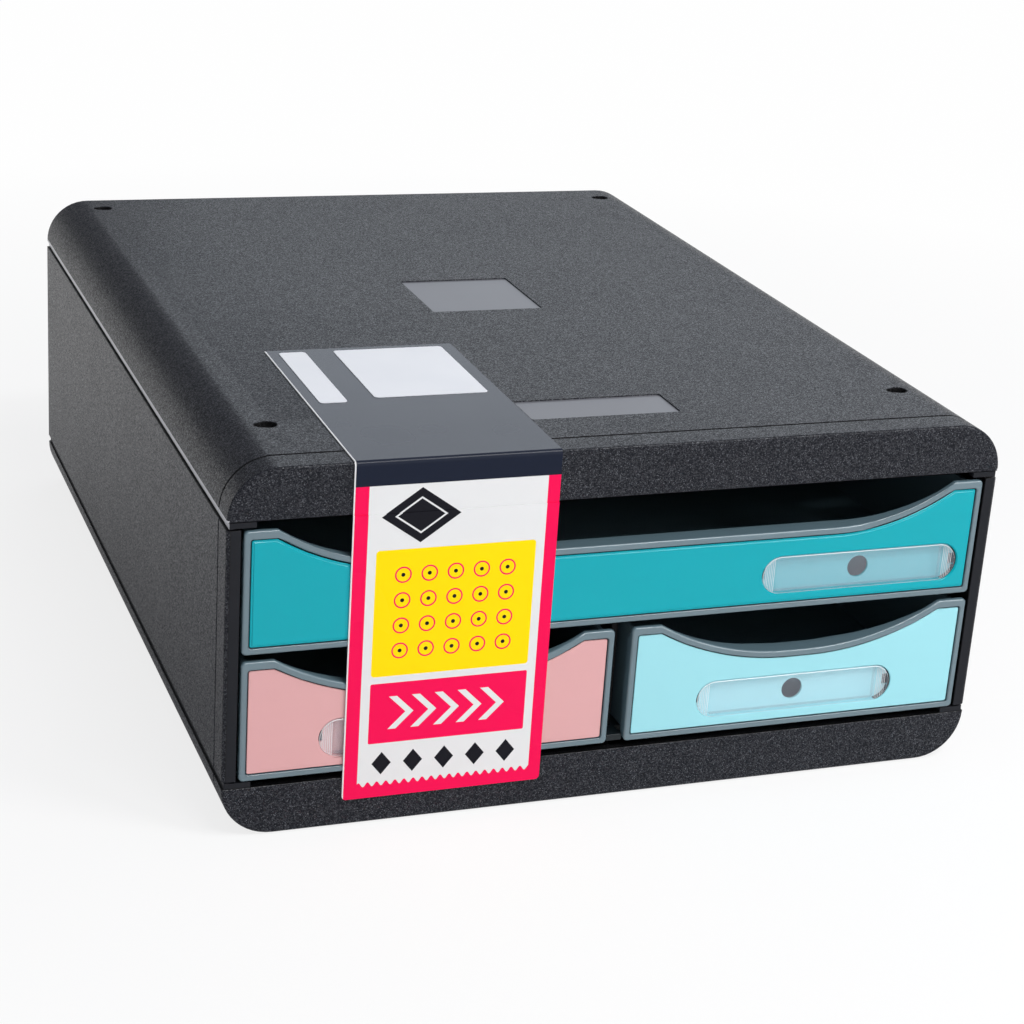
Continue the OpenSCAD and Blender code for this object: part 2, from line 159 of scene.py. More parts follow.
def newGroup(name, inputs, outputs):
    group = bpy.data.node_groups.new(name, "ShaderNodeTree")
    for label, value in inputs.items():
        kind = "NodeSocketVector" if value is None else "NodeSocketFloat"
        socket = group.interface.new_socket(name=label, in_out="INPUT", socket_type=kind)
        if value is not None:
            socket.default_value = value
    for label in outputs:
        group.interface.new_socket(name=label, in_out="OUTPUT", socket_type="NodeSocketFloat")
    return group, group.nodes.new("NodeGroupInput"), group.nodes.new("NodeGroupOutput")


def useGroup(tree, group, vector, **values):
    node = tree.nodes.new("ShaderNodeGroup")
    node.node_tree = group
    tree.links.new(vector, node.inputs["Vector"])
    for label, value in values.items():
        node.inputs[label].default_value = value
    return node


def putOut(group, end, **fields):
    for label, field in fields.items():
        group.links.new(field.socket, end.inputs[label])


def addNoise(tree, vector, scale, detail, **more):
    inputs = {"Vector": vector, "Scale": scale, "Detail": detail, **more}
    return Field(tree, addNode(tree, "ShaderNodeTexNoise", inputs=inputs).outputs["Fac"])


mouldCells = {
    "falloff": -1.5, "fine scale": 1.4, "fine contrast": 1.6, "cell share": 0.7, "fine share": 0.3,
    "contrast": 1.6, "glint from": 0.90, "glint rise": 12.0, "uneven height": 0.6, "least height": 0.4,
    "cloud scale": 22.0, "cloud detail": 3.0}


def buildMouldGrain():  # spark-eroded mould texture: cells of uneven tone, a few that glint, slow clouds
    group, start, end = newGroup(
        "mouldGrain", {"Vector": None, "Size": 0.7}, ["Height", "Speck", "Glint", "Cloud"])
    vector = start.outputs["Vector"]
    scale = Field(group, start.outputs["Size"]).calc("POWER", -1.0) * perMetre
    cell = addNode(group, "ShaderNodeTexVoronoi", settings={"feature": "F1"}, inputs={
        "Vector": vector, "Scale": scale.socket})
    fine = addNoise(group, vector, (scale * mouldCells["fine scale"]).socket, 1.0)
    cloud = addNoise(group, vector, mouldCells["cloud scale"], mouldCells["cloud detail"])
    chance = addNode(group, "ShaderNodeSeparateColor", inputs={"Color": cell.outputs["Color"]})
    tone, luck = Field(group, chance.outputs["Red"]), Field(group, chance.outputs["Green"])
    pimple = (Field(group, cell.outputs["Distance"]) * mouldCells["falloff"] + 1.0).most(0.0)
    fine = fine.contrast(mouldCells["fine contrast"])
    speck = tone * mouldCells["cell share"] + fine * mouldCells["fine share"]
    speck = speck.contrast(mouldCells["contrast"]).clamped()
    glint = ((luck - mouldCells["glint from"]) * mouldCells["glint rise"]).clamped() * pimple
    height = pimple * (tone * mouldCells["uneven height"] + mouldCells["least height"])
    putOut(group, end, Height=height, Speck=speck * speck, Glint=glint, Cloud=cloud)
    return group


wipeMarks = {
    "stretch": (9.0, 9.0, 60.0), "scale": 2.0, "detail": 4.0, "roughness": 0.65, "wave scale": 14.0,
    "wave height": 0.6, "fine scale": 2600.0, "fine height": 0.05, "depth": 0.4 * mm}


def buildHandling():  # faint wiping marks and unevenness on smooth plastic
    group, start, end = newGroup("handling", {"Vector": None, "Amount": 1.0}, ["Rough", "Height", "Tone"])
    vector = start.outputs["Vector"]
    wipe = addNode(group, "ShaderNodeMapping", inputs={"Vector": vector, "Scale": wipeMarks["stretch"]})
    marks = addNoise(
        group, wipe.outputs[0], wipeMarks["scale"], wipeMarks["detail"], Roughness=wipeMarks["roughness"])
    wave = addNoise(group, vector, wipeMarks["wave scale"], 1.0)
    fine = addNoise(group, vector, wipeMarks["fine scale"], 1.0)
    rough = marks.swing(Field(group, start.outputs["Amount"]))
    height = wave * wipeMarks["wave height"] + fine * wipeMarks["fine height"]
    putOut(group, end, Rough=rough, Height=height, Tone=marks)
    return group


cardPulp = {
    "stretch": (1.0, 0.35, 0.35), "fibre scale": 1500.0, "fibre detail": 3.0, "fibre height": 0.2,
    "pulp scale": 30.0, "pulp detail": 2.0, "pulp height": 0.8}


def buildCardFibre():  # faint fibre and pulp unevenness of card and paper
    group, start, end = newGroup("cardFibre", {"Vector": None}, ["Height", "Tone"])
    vector = start.outputs["Vector"]
    long = addNode(group, "ShaderNodeMapping", inputs={"Vector": vector, "Scale": cardPulp["stretch"]})
    fibre = addNoise(group, long.outputs[0], cardPulp["fibre scale"], cardPulp["fibre detail"])
    pulp = addNoise(group, vector, cardPulp["pulp scale"], cardPulp["pulp detail"])
    height = fibre * cardPulp["fibre height"] + pulp * cardPulp["pulp height"]
    putOut(group, end, Height=height, Tone=pulp)
    return group


mouldGrain = buildMouldGrain()
handling = buildHandling()
cardFibre = buildCardFibre()


def newMaterial(name, settings):
    material = bpy.data.materials.new(name)
    material.use_nodes = True
    tree = material.node_tree
    shader = tree.nodes["Principled BSDF"]
    for label, value in settings.items():
        shader.inputs[label].default_value = value
    place = addNode(tree, "ShaderNodeTexCoord").outputs["Object"]
    return material, tree, shader, place


def addBump(tree, shader, height, strength, distance):
    bump = addNode(tree, "ShaderNodeBump", inputs={
        "Strength": strength, "Distance": distance, "Height": height})
    tree.links.new(bump.outputs[0], shader.inputs["Normal"])


def grainedPlastic(name, look):
    material, tree, shader, place = newMaterial(name, {"Specular IOR Level": look["gloss"]})
    grain = useGroup(tree, mouldGrain, place, Size=look["grain"])
    mottled = blendColour(tree, grain.outputs["Speck"], look["dark"], look["light"])
    glint = Field(tree, grain.outputs["Glint"])
    # the glint colour mixed into the base colour is a painted glint on a few bright cells of the grain
    colour = blendColour(tree, glint * look["glints"], mottled, look["glint"])
    cloud = Field(tree, grain.outputs["Cloud"]).swing(look["clouds"])
    rough = cloud + look["roughness"] - glint * look["glint shine"]
    coat = (Field(tree, grain.outputs["Speck"]) * look["coat specks"] + look["coat least"]) * look["coat"]
    tree.links.new(colour, shader.inputs["Base Color"])
    tree.links.new(rough.socket, shader.inputs["Roughness"])
    tree.links.new(coat.socket, shader.inputs["Coat Weight"])
    shader.inputs["Coat Roughness"].default_value = look["coat roughness"]
    addBump(tree, shader, grain.outputs["Height"], look["bump"], look["depth"])
    return material


def smoothPlastic(name, look):
    material, tree, shader, place = newMaterial(name, {"Specular IOR Level": look["gloss"]})
    marks = useGroup(tree, handling, place, Amount=look["marks"])
    colour = blendColour(tree, marks.outputs["Tone"], look["shade"], look["colour"])
    rough = Field(tree, marks.outputs["Rough"]) + look["roughness"]
    tree.links.new(colour, shader.inputs["Base Color"])
    tree.links.new(rough.socket, shader.inputs["Roughness"])
    addBump(tree, shader, marks.outputs["Height"], look["bump"], wipeMarks["depth"])
    return material


def shaded(colour, share):
    return tuple(value * share for value in colour)


casingLook = {
    "dark": (0.0088, 0.0096, 0.0132), "light": (0.0270, 0.0290, 0.0375), "glint": (0.22, 0.23, 0.26),
    "glints": 0.9, "glint shine": 0.15, "roughness": 0.42, "gloss": 0.04, "coat": 0.82,
    "coat specks": 0.88, "coat least": 0.08, "coat roughness": 0.30, "grain": 0.36, "clouds": 0.10,
    "bump": 1.0, "depth": 0.24 * mm}
casingGrain = grainedPlastic("casingGrain", casingLook)
# painted shade: the grained plastic painted near black for the insides of the box, the divider, the gap round
# each insert and the pocket ends, where shade falls
paintedShadeGrain = grainedPlastic("paintedShadeGrain", {
    **casingLook, "dark": (0.0020, 0.0020, 0.0025), "light": (0.0060, 0.0060, 0.0070), "glints": 0.05,
    "gloss": 0.2, "coat": 0.1})
# smooth seam lip whose pale colour is a painted highlight along the seam
seamHighlightPlastic = smoothPlastic("seamHighlightPlastic", {
    "colour": (0.560, 0.560, 0.580), "shade": (0.500, 0.500, 0.520), "roughness": 0.30, "gloss": 0.5,
    "marks": 0.12, "bump": 0.1})
postPlastic = smoothPlastic("postPlastic", {
    "colour": (0.016, 0.017, 0.021), "shade": (0.011, 0.012, 0.015), "roughness": 0.42, "gloss": 0.12,
    "marks": 0.15, "bump": 0.2})
platePlastic = smoothPlastic("platePlastic", {
    "colour": (0.132, 0.134, 0.152), "shade": (0.116, 0.118, 0.134), "roughness": 0.36, "gloss": 0.6,
    "marks": 0.10, "bump": 0.08})
slateColour = (0.108, 0.168, 0.198)
slatePlastic = smoothPlastic("slatePlastic", {
    "colour": slateColour, "shade": shaded(slateColour, 0.88), "roughness": 0.23, "gloss": 0.95,
    "marks": 0.10, "bump": 0.12})
tealColour = (0.002, 0.350, 0.412)
tealPlastic = smoothPlastic("tealPlastic", {
    "colour": tealColour, "shade": shaded(tealColour, 0.95), "roughness": 0.22, "gloss": 0.22,
    "marks": 0.06, "bump": 0.08})
pinkColour = (0.680, 0.370, 0.370)
pinkPlastic = smoothPlastic("pinkPlastic", {
    "colour": pinkColour, "shade": shaded(pinkColour, 0.96), "roughness": 0.26, "gloss": 0.22,
    "marks": 0.06, "bump": 0.08})
aquaColour = (0.322, 0.665, 0.725)
aquaPlastic = smoothPlastic("aquaPlastic", {
    "colour": aquaColour, "shade": shaded(aquaColour, 0.97), "roughness": 0.24, "gloss": 0.22,
    "marks": 0.06, "bump": 0.08})
# painted shade: the rail's own slate is painted near black, as it sits in the shade between the lower drawers
railPaintedShade = smoothPlastic("railPaintedShade", {
    "colour": (0.008, 0.013, 0.016), "shade": (0.006, 0.010, 0.012), "roughness": 0.34, "gloss": 0.3,
    "marks": 0.10, "bump": 0.12})
paintedHazeColours = {"teal": (0.135, 0.445, 0.510), "pink": (0.730, 0.470, 0.470), "aqua": (0.385, 0.715, 0.780)}
pocketPaintedHaze = {}
for name, colour in paintedHazeColours.items():  # the pocket behind each cover is matt and painted paler than its insert: a painted reflection haze from the clear cover
    pocketPaintedHaze[name] = smoothPlastic(name + "Pocket", {
        "colour": colour, "shade": shaded(colour, 0.95), "roughness": 0.5, "gloss": 0.3, "marks": 0.1,
        "bump": 0.1})
footRubber = grainedPlastic("footRubber", {
    **casingLook, "dark": (0.010, 0.010, 0.010), "light": (0.022, 0.022, 0.022), "roughness": 0.8,
    "glints": 0.1, "coat": 0.0, "grain": 0.4})


def clearPlastic(name, look):  # seen through by its alpha, so the light reaches the pocket behind it
    material, tree, shader, place = newMaterial(name, {"Base Color": (*look["veil"], 1.0)})
    marks = useGroup(tree, handling, place, Amount=look["marks"])
    rough = (Field(tree, marks.outputs["Rough"]) + look["roughness"]).most(look["smoothest"])
    alpha = Field(tree, marks.outputs["Tone"]).swing(look["uneven"]) + look["alpha"]
    tree.links.new(rough.socket, shader.inputs["Roughness"])
    tree.links.new(alpha.socket, shader.inputs["Alpha"])
    addBump(tree, shader, marks.outputs["Height"], look["bump"], look["depth"])
    return material


# the pale colour of the cover, seen at its small alpha, is a painted whitish reflection haze over the pocket
clearLook = {
    "veil": (0.74, 0.78, 0.87), "alpha": 0.082, "uneven": 0.04, "roughness": 0.12, "smoothest": 0.03,
    "marks": 0.10, "bump": 0.05, "depth": 0.2 * mm}
clearCover = clearPlastic("clearCover", clearLook)
# painted highlight: one side of each rib is paler and less clear, standing in for the light it catches
clearRibHighlight = clearPlastic("clearRibHighlight", {**clearLook, "veil": (0.92, 0.94, 0.95), "alpha": 0.50})
# painted highlight: the rounded edges of the cover are paler and less clear, standing in for the light they
# catch
clearRimHighlight = clearPlastic("clearRimHighlight", {
    **clearLook, "veil": (0.93, 0.95, 0.96), "alpha": 0.62, "roughness": 0.10})
print("materials ready")


cadMesh = {"same point": 0.015 * mm, "flat angle": 0.2, "sharp angle": 30.0}
spikeShare = 0.34  # of a rounding's width: a point further off the old surface than this is set back


def cadCopy(node):  # merged copy of a CAD node's mesh, its flat triangles joined into faces
    bm = bmesh.new()
    bm.from_mesh(frame["nodes"][node].data)
    bmesh.ops.remove_doubles(bm, verts=bm.verts, dist=cadMesh["same point"])
    bmesh.ops.dissolve_limit(
        bm, angle_limit=math.radians(cadMesh["flat angle"]), verts=bm.verts, edges=bm.edges)
    return bm


def sharpEdges(bm, test=None, angle=cadMesh["sharp angle"]):
    found = []
    for edge in bm.edges:
        if len(edge.link_faces) == 2 and edge.calc_face_angle() > math.radians(angle):
            if test is None or test(edge):
                found.append(edge)
    return found


def roundEdges(bm, edges, width, segments=2):
    before = BVHTree.FromBMesh(bm)
    low = [min(vertex.co[axis] for vertex in bm.verts) for axis in range(3)]
    high = [max(vertex.co[axis] for vertex in bm.verts) for axis in range(3)]
    bmesh.ops.bevel(
        bm, geom=edges, offset=width, offset_type="OFFSET", segments=segments, profile=0.5,
        affect="EDGES", clamp_overlap=False, material=-1, loop_slide=True)
    for vertex in bm.verts:  # a corner tighter than the rounding throws a spike, so it is set back
        if math.isnan(vertex.co.x):
            others = [edge.other_vert(vertex).co for edge in vertex.link_edges]
            others = [co for co in others if not math.isnan(co.x)]
            vertex.co = sum(others, Vector()) / len(others)
        place, _, _, distance = before.find_nearest(vertex.co)
        if distance > spikeShare * width:
            vertex.co = place
        vertex.co = [min(max(vertex.co[axis], low[axis]), high[axis]) for axis in range(3)]


def cutAcross(bm, place, normal):
    everything = bm.verts[:] + bm.edges[:] + bm.faces[:]
    bmesh.ops.bisect_plane(bm, geom=everything, dist=merging, plane_co=place, plane_no=normal)


def pieceName(node):  # top_shell becomes topShell
    first, *others = node.replace("label_holder", "cover").split("_")
    return first + "".join(word.title() for word in others)


def finishPiece(bm, node, materials, smoothAngle=50.0):
    name = pieceName(node)
    mesh = bpy.data.meshes.new(name)
    bm.to_mesh(mesh)
    bm.free()
    if "custom_normal" in mesh.attributes:  # the flat copy's own normals no longer fit
        mesh.attributes.remove(mesh.attributes["custom_normal"])
    for material in materials:
        mesh.materials.append(material)
    mesh.shade_smooth()
    mesh.set_sharp_from_angle(angle=math.radians(smoothAngle))
    piece = bpy.data.objects.new(name, mesh)
    bpy.context.scene.collection.objects.link(piece)
    weighted = piece.modifiers.new("faceWeighted", "WEIGHTED_NORMAL")
    weighted.weight = 100
    weighted.keep_sharp = True
    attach(piece, frame["nodes"][node]["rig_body"])
    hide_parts(node)
    return piece


def near(value, target):
    return abs(value - target) < touching


shellLook = {  # each edge has its width and its steps
    "corner": 17.5 * mm, "front edge": (0.9 * mm, 4), "other edges": (0.2 * mm, 2),
    "hole edge": (0.35 * mm, 3), "hole reach": 5 * mm, "wall": 1.2 * mm, "skin": 2.7 * mm,
    "plates": 60 * mm, "plate depth": (0.2 * mm, 0.8 * mm), "level": 0.999, "posts": 12 * mm,
    # band: height of the skin above the seam lip that is painted pale as a painted highlight
    "band": 1.0 * mm}
holeRows = [sum(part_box(foot)[i].y for i in (0, 1)) / 2 for foot in ("foot_front_left", "foot_rear_left")]


def depthInside(x, z):  # how far a place lies under the casing's rounded outline
    corner = shellLook["corner"]
    middle = (caseLow.z + caseHigh.z) / 2
    across = abs(x) - (caseHigh.x - corner)
    upward = abs(z - middle) - (caseHigh.z - middle - corner)
    return corner - math.hypot(max(across, 0), max(upward, 0)) - min(max(across, upward), 0)


def dressShell(node):
    low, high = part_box(node)
    shallow, deep = shellLook["plate depth"]
    bm = cadCopy(node)
    upward = node == "top_shell"
    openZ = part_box("strip_top")[0].z if upward else caseLow.z + (caseHigh.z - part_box("strip_top")[0].z)
    flatZ = high.z if upward else low.z
    for face in bm.faces:  # grained outside, smooth plates, a seam lip on the upper half painted pale as a painted highlight, inside painted black as painted shade
        middle = face.calc_center_median()
        beyond = (middle.z < openZ - touching) if upward else (middle.z > openZ + touching)
        onEnd = abs(face.normal.y) > facing and (near(middle.y, low.y) or near(middle.y, high.y))
        onSide = abs(face.normal.x) > facing and abs(middle.x) > caseHigh.x - shellLook["wall"]
        inPlate = face.normal.z > shellLook["level"] and shallow < high.z - middle.z < deep
        if upward and inPlate and abs(middle.x) < shellLook["plates"]:
            face.material_index = 2
        elif upward and beyond and onSide:
            face.material_index = 1
        elif beyond and abs(middle.x) > caseHigh.x - shellLook["posts"]:
            face.material_index = 4
        elif depthInside(middle.x, middle.z) > shellLook["wall"] and not onEnd:
            face.material_index = 3

    def atEnds(edge):
        ends = [vertex.co for vertex in edge.verts]
        front = all(near(co.y, low.y) for co in ends)
        rear = all(near(co.y, high.y) for co in ends)
        return (front or rear) and all(depthInside(co.x, co.z) < touching for co in ends)

    roundEdges(bm, sharpEdges(bm, atEnds), *shellLook["front edge"])

    def aroundHole(edge):
        ends = [vertex.co for vertex in edge.verts]
        bySide = all(near(co.z, flatZ) and abs(co.x) > shellLook["plates"] for co in ends)
        inRow = all(min(abs(co.y - y) for y in holeRows) < shellLook["hole reach"] for co in ends)
        return upward and bySide and inRow

    roundEdges(bm, sharpEdges(bm, aroundHole), *shellLook["hole edge"])

    def seen(edge):  # in the outer skin or on the front, for the edges inside stay as they are
        ends = [vertex.co for vertex in edge.verts]
        return all(near(co.y, low.y) or depthInside(co.x, co.z) < shellLook["skin"] for co in ends)

    bmesh.ops.connect_verts_concave(bm, faces=[f for f in bm.faces if near(f.calc_center_median().z, openZ)])
    roundEdges(bm, sharpEdges(bm, seen), *shellLook["other edges"])
    if upward:  # the painted highlight of the pale lip takes in the lowest part of the skin above it
        highlightTopZ = openZ + shellLook["band"]
        cutAcross(bm, (0, 0, highlightTopZ), (0, 0, 1))
        for face in bm.faces:
            middle = face.calc_center_median()
            if openZ - touching < middle.z < highlightTopZ and abs(middle.x) > caseHigh.x - shellLook["band"]:
                face.material_index = 1
    finishes = [casingGrain, seamHighlightPlastic, platePlastic, paintedShadeGrain, postPlastic]
    return finishPiece(bm, node, finishes)


dressShell("top_shell")
dressShell("base_shell")
print("shells done")

panelLook = {"edges": 0.3 * mm, "outer skin": 1.0 * mm}


def dressPanel(node):
    bm = cadCopy(node)
    outer = max(abs(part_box(node)[0].x), abs(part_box(node)[1].x))
    for face in bm.faces:  # grained outside, smooth front post, inside painted black as painted shade
        middle = face.calc_center_median()
        if face.normal.y < -facing and near(middle.y, caseLow.y):
            face.material_index = 2
        elif abs(middle.x) < outer - panelLook["outer skin"]:
            face.material_index = 1
    roundEdges(bm, sharpEdges(bm), panelLook["edges"])
    return finishPiece(bm, node, [casingGrain, paintedShadeGrain, postPlastic])


dressPanel("side_panel_left")
dressPanel("side_panel_right")

plainRounds = {"back": (0.3 * mm, 2), "divider": (0.2 * mm, 2), "rail": (0.35 * mm, 3), "foot": (0.2 * mm, 2)}


def dressPlain(node, material, rounding):
    bm = cadCopy(node)
    roundEdges(bm, sharpEdges(bm), *rounding)
    return finishPiece(bm, node, [material])


dressPlain("back_panel", casingGrain, plainRounds["back"])
# the divider is painted black with the painted shade grain
dressPlain("centre_divider", paintedShadeGrain, plainRounds["divider"])
dressPlain("centre_rail", railPaintedShade, plainRounds["rail"])
for corner in ("front_left", "front_right", "rear_left", "rear_right"):
    dressPlain("foot_" + corner, footRubber, plainRounds["foot"])
print("panels, rail and feet done")


trayLook = {
    "front outer": (0.85 * mm, 4), "front inner": (0.16 * mm, 2), "inside": (0.2 * mm, 2),
    "outer angle": 20.0, "heart": 12 * mm}


def dressTray(node):
    low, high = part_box(node)
    bm = cadCopy(node)
    heart = Vector(((low.x + high.x) / 2, low.y, low.z + trayLook["heart"]))  # outer edges face away from it

    def onFront(edge, outwards):
        if not all(near(vertex.co.y, low.y) for vertex in edge.verts):
            return False
        middle = (edge.verts[0].co + edge.verts[1].co) / 2
        side = [f for f in edge.link_faces if abs(f.normal.y) < mostly]
        if not side:
            return False
        away = side[0].normal.dot(middle - heart) > 0
        return away == outwards

    outer = sharpEdges(bm, lambda edge: onFront(edge, True), trayLook["outer angle"])
    roundEdges(bm, outer, *trayLook["front outer"])
    roundEdges(bm, sharpEdges(bm, lambda edge: onFront(edge, False)), *trayLook["front inner"])
    roundEdges(bm, sharpEdges(bm), *trayLook["inside"])
    return finishPiece(bm, node, [slatePlastic])


insertLook = {
    "gap": 0.24 * mm, "gap depth": 1.2 * mm, "edge": 0.18 * mm, "border": 0.48 * mm, "slope": 0.26 * mm,
    "rise": 0.22 * mm, "same point": 0.12 * mm, "pocket edge": (0.42 * mm, 4), "pocket reach": 0.8 * mm,
    "pocket floor": 2 * mm, "dark end": 5 * mm, "level": 0.99, "upright": 0.1, "smooth angle": 30.0}


def inOrder(edges):  # the points of a closed outline, one after the other
    first, vert = edges[0].verts
    loop, left = [first], set(edges[1:])
    while vert is not first:
        loop.append(vert)
        edge = next(e for e in vert.link_edges if e in left)
        left.discard(edge)
        vert = edge.other_vert(vert)
    if sum(p.co.x * q.co.z - q.co.x * p.co.z for p, q in zip(loop, loop[1:] + loop[:1])) < 0:
        loop.reverse()
    return loop


def addRing(bm, loop, width, depth):  # faces from an outline to the same outline drawn in and set back
    inner = []
    for place, vert in enumerate(loop):
        come = vert.co - loop[place - 1].co
        leave = loop[(place + 1) % len(loop)].co - vert.co
        first, second = (Vector((-way.z, 0, way.x)).normalized() for way in (come, leave))
        spot = vert.co + (first + second) * (width / (1 + first.dot(second))) + Vector((0, depth, 0))
        known = [v for v in inner[-1:] + inner[:1] if (v.co - spot).length < insertLook["same point"]]
        inner.append(known[0] if known else bm.verts.new(spot))
    faces = []
    for place in range(len(loop)):
        after = (place + 1) % len(loop)
        corners = dict.fromkeys((loop[place], loop[after], inner[after], inner[place]))
        faces.append(bm.faces.new(list(corners)))
    return [v for place, v in enumerate(inner) if v is not inner[place - 1]], faces


def dressInsert(node, finish):
    low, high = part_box(node)
    pocketLow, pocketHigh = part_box(node.replace("insert", "label_holder"))
    bm = cadCopy(node)
    reach = insertLook["pocket reach"]

    def byPocket(vert):
        across = pocketLow.x - reach < vert.co.x < pocketHigh.x + reach
        return across and pocketLow.z - reach < vert.co.z < pocketHigh.z + reach

    rim = sharpEdges(bm, lambda e: all(near(v.co.y, low.y) and byPocket(v) for v in e.verts))
    roundEdges(bm, rim, *insertLook["pocket edge"])
    bm.normal_update()
    plate = {
        f for f in bm.faces if f.normal.y < -insertLook["level"] and near(f.calc_center_median().y, low.y)}
    edges = [e for e in bm.edges if sum(f in plate for f in e.link_faces) == 1]
    outline = inOrder([e for e in edges if not all(byPocket(v) for v in e.verts)])
    pocket = [e for e in edges if all(byPocket(v) for v in e.verts)]
    bmesh.ops.delete(bm, geom=list(plate), context="FACES_KEEP_BOUNDARY")
    loop, gap = addRing(bm, outline, insertLook["gap"], insertLook["edge"])
    loop, _ = addRing(bm, loop, insertLook["edge"], -insertLook["edge"])
    if finish["outlined"]:  # the middle of the plate stands a little proud of its border
        rise = insertLook["rise"]
        loop, _ = addRing(bm, loop, insertLook["border"], 0)
        loop, _ = addRing(bm, loop, insertLook["slope"], -rise)
        bmesh.ops.translate(bm, verts=list({v for e in pocket for v in e.verts}), vec=(0, -rise, 0))
    # the gap ring round the insert is painted black: painted shade between the insert and the rim
    for face in gap:
        face.material_index = 1
    pocket += [bm.edges.get((p, q)) for p, q in zip(loop, loop[1:] + loop[:1])]
    bmesh.ops.triangle_fill(bm, edges=pocket, use_beauty=True, normal=(0, -1, 0))
    bmesh.ops.translate(bm, verts=outline, vec=(0, insertLook["gap depth"], 0))
    bm.normal_update()
    for face in bm.faces:  # a pocket floor painted paler as a painted reflection haze from the cover, and walls at the pocket's right end painted dark as painted shade
        middle = face.calc_center_median()
        if all(byPocket(v) for v in face.verts):
            upright = abs(face.normal.y) < insertLook["upright"]
            if face.normal.y < -facing and middle.y > low.y + insertLook["pocket floor"]:
                face.material_index = 2
            elif upright and middle.x > pocketHigh.x - insertLook["dark end"]:
                face.material_index = 1
    finishes = [finish["material"], paintedShadeGrain, finish["pocket"]]
    return finishPiece(bm, node, finishes, insertLook["smooth angle"])


coverLook = {
    "edge": 0.42 * mm, "edge steps": 4, "edge slope": (-0.97, -0.25), "play": 0.55 * mm, "end": 8 * mm,
    "left rib": 0.8 * mm, "right rib": 1.3 * mm, "ribs": 6, "rib pitch": 0.66 * mm, "rib depth": 0.16 * mm,
    "rib slope": (-0.5, 0.2), "smooth angle": 25.0}


def dressCover(node):
    low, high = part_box(node)[0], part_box(node)[1].copy()
    bm = cadCopy(node)
    rightEnd = [v for v in bm.verts if v.co.x > high.x - coverLook["end"]]  # the cover stops short there
    bmesh.ops.translate(bm, verts=rightEnd, vec=(-coverLook["play"], 0, 0))
    high.x -= coverLook["play"]
    rim = sharpEdges(bm, lambda e: all(near(v.co.y, low.y) for v in e.verts))
    roundEdges(bm, rim, coverLook["edge"], coverLook["edge steps"])
    bm.normal_update()
    steep, slight = coverLook["edge slope"]
    # the rounded edges take the painted highlight
    for face in bm.faces:
        if steep < face.normal.y < slight:
            face.material_index = 1
    half = coverLook["rib pitch"] / 2
    for side, end in ((1, low.x + coverLook["left rib"]), (-1, high.x - coverLook["right rib"])):
        for place in range(2 * coverLook["ribs"] + 1):
            x = end + side * place * half
            cutAcross(bm, (x, 0, 0), (1, 0, 0))
            if place % 2:
                valley = [v for v in bm.verts if near(v.co.x, x) and v.co.y < low.y + coverLook["edge"]]
                bmesh.ops.translate(bm, verts=valley, vec=(0, coverLook["rib depth"], 0))
    bm.normal_update()
    forward, sideways = coverLook["rib slope"]
    # the rib faces turned to the right take the painted highlight
    for face in bm.faces:
        if face.normal.y < forward and face.normal.x > sideways and face.material_index == 0:
            face.material_index = 2
    finishes = [clearCover, clearRimHighlight, clearRibHighlight]
    return finishPiece(bm, node, finishes, coverLook["smooth angle"])


drawers = {
    "upper": {
        "material": tealPlastic, "pocket": pocketPaintedHaze["teal"], "slot": "teal_insert", "outlined": True},
    "lower_left": {
        "material": pinkPlastic, "pocket": pocketPaintedHaze["pink"], "slot": "pink_insert", "outlined": False},
    "lower_right": {
        "material": aquaPlastic, "pocket": pocketPaintedHaze["aqua"], "slot": "aqua_insert", "outlined": False}}
for key, finish in drawers.items():
    dressTray(key + "_tray")
    dressInsert(key + "_insert", finish)
    dressCover(key + "_label_holder")
print("drawers done")


stripLow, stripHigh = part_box("strip_top")
stripMiddle = (stripHigh.x - stripLow.x) / mm / 2
stripInk = {
    "white": (0.71, 0.71, 0.71), "red": (0.85, 0.006, 0.082), "yellow": (0.97, 0.67, 0.003),
    "black": (0.010, 0.010, 0.014), "grey": (0.012, 0.016, 0.030)}
stripBoxes = {  # millimetres: right of the strip's middle, up, half width, half height, corner
    "field": (0.4, 68.0, stripMiddle - 4.7, 58.0, 0.3), "panel": (0.5, 77.0, 27.5, 22.5, 1.2),
    "spots": (0.5, 77.0, 22.5, 18.0, 0.5), "bar": (0.5, 41.0, 27.5, 11.0, 0.6)}
stripPrint = {  # millimetres
    "blur": 0.12, "wave length": 3.2, "wave height": 0.8, "wave up": 15.0, "spot step": 9.0, "spot": 2.6,
    "spot line": 0.28, "spot heart": 1.9, "arrow step": 8.0, "arrow start": 3.0, "arrow": 1.4,
    "arrow height": 6.0, "arrow reach": 20.0, "crest": (23.0, 111.0), "crest size": (13.5, 9.5),
    "crest line": (8.5, 6.0), "line": 0.35, "row step": 11.0, "row up": 22.5, "row size": (3.4, 4.2),
    "row reach": 27.5, "band up": 121.8, "bare edge": 0.45, "varnish up": 129.0, "varnish blur": 0.6}
cardSurface = {
    "gloss": 0.06, "roughness": 0.26, "uneven": 0.10, "coat": 0.32, "coat roughness": 0.22, "bump": 0.10,
    "depth": 0.3 * mm}


def boxDistance(u, v, middleU, middleV, halfU, halfV, radius):
    across = (abs(u - middleU) - (halfU - radius)).most(0.0)
    along = (abs(v - middleV) - (halfV - radius)).most(0.0)
    return (across * across + along * along).root() - radius


def diamondDistance(u, v, middleU, middleV, halfU, halfV):
    return (abs(u - middleU) / halfU + abs(v - middleV) / halfV - 1.0) * min(halfU, halfV)


def discDistance(u, v, middleU, middleV, radius):
    across, along = u - middleU, v - middleV
    return (across * across + along * along).root() - radius


